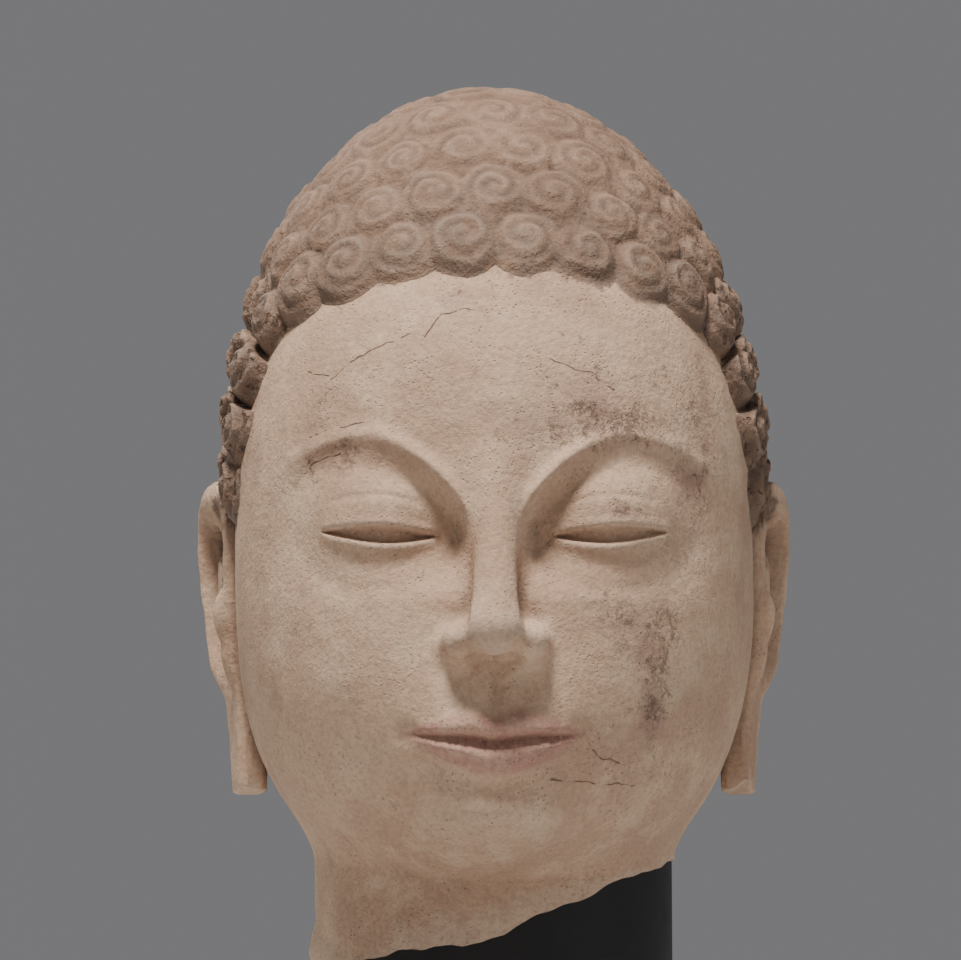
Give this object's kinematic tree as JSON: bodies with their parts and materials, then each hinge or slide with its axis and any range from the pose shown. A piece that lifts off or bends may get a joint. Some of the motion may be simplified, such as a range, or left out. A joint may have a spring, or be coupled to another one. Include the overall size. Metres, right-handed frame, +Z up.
{
  "type": "stone buddha head",
  "caption": "Carved stone head with snail-shell curls, long ears and lowered eyes, broken at the neck, standing on a fitted black post with a square foot.",
  "frame": {"origin": "centre of the foot's underside, on the surface that the sculpture stands on", "axes": "+Z up, the face looks along -Y, +X towards the head's left ear, which is on the right in the front view"},
  "size_m": [0.2762, 0.29, 0.5127],
  "materials": {
    "stone": "matte carved surface, worn, with patches of dark patina",
    "black_paint": "matte black paint"
  },
  "bodies": {
    "root": {"stone_head": "stone", "support_post": "black_paint", "support_foot": "black_paint"}
  },
  "joints": []
}
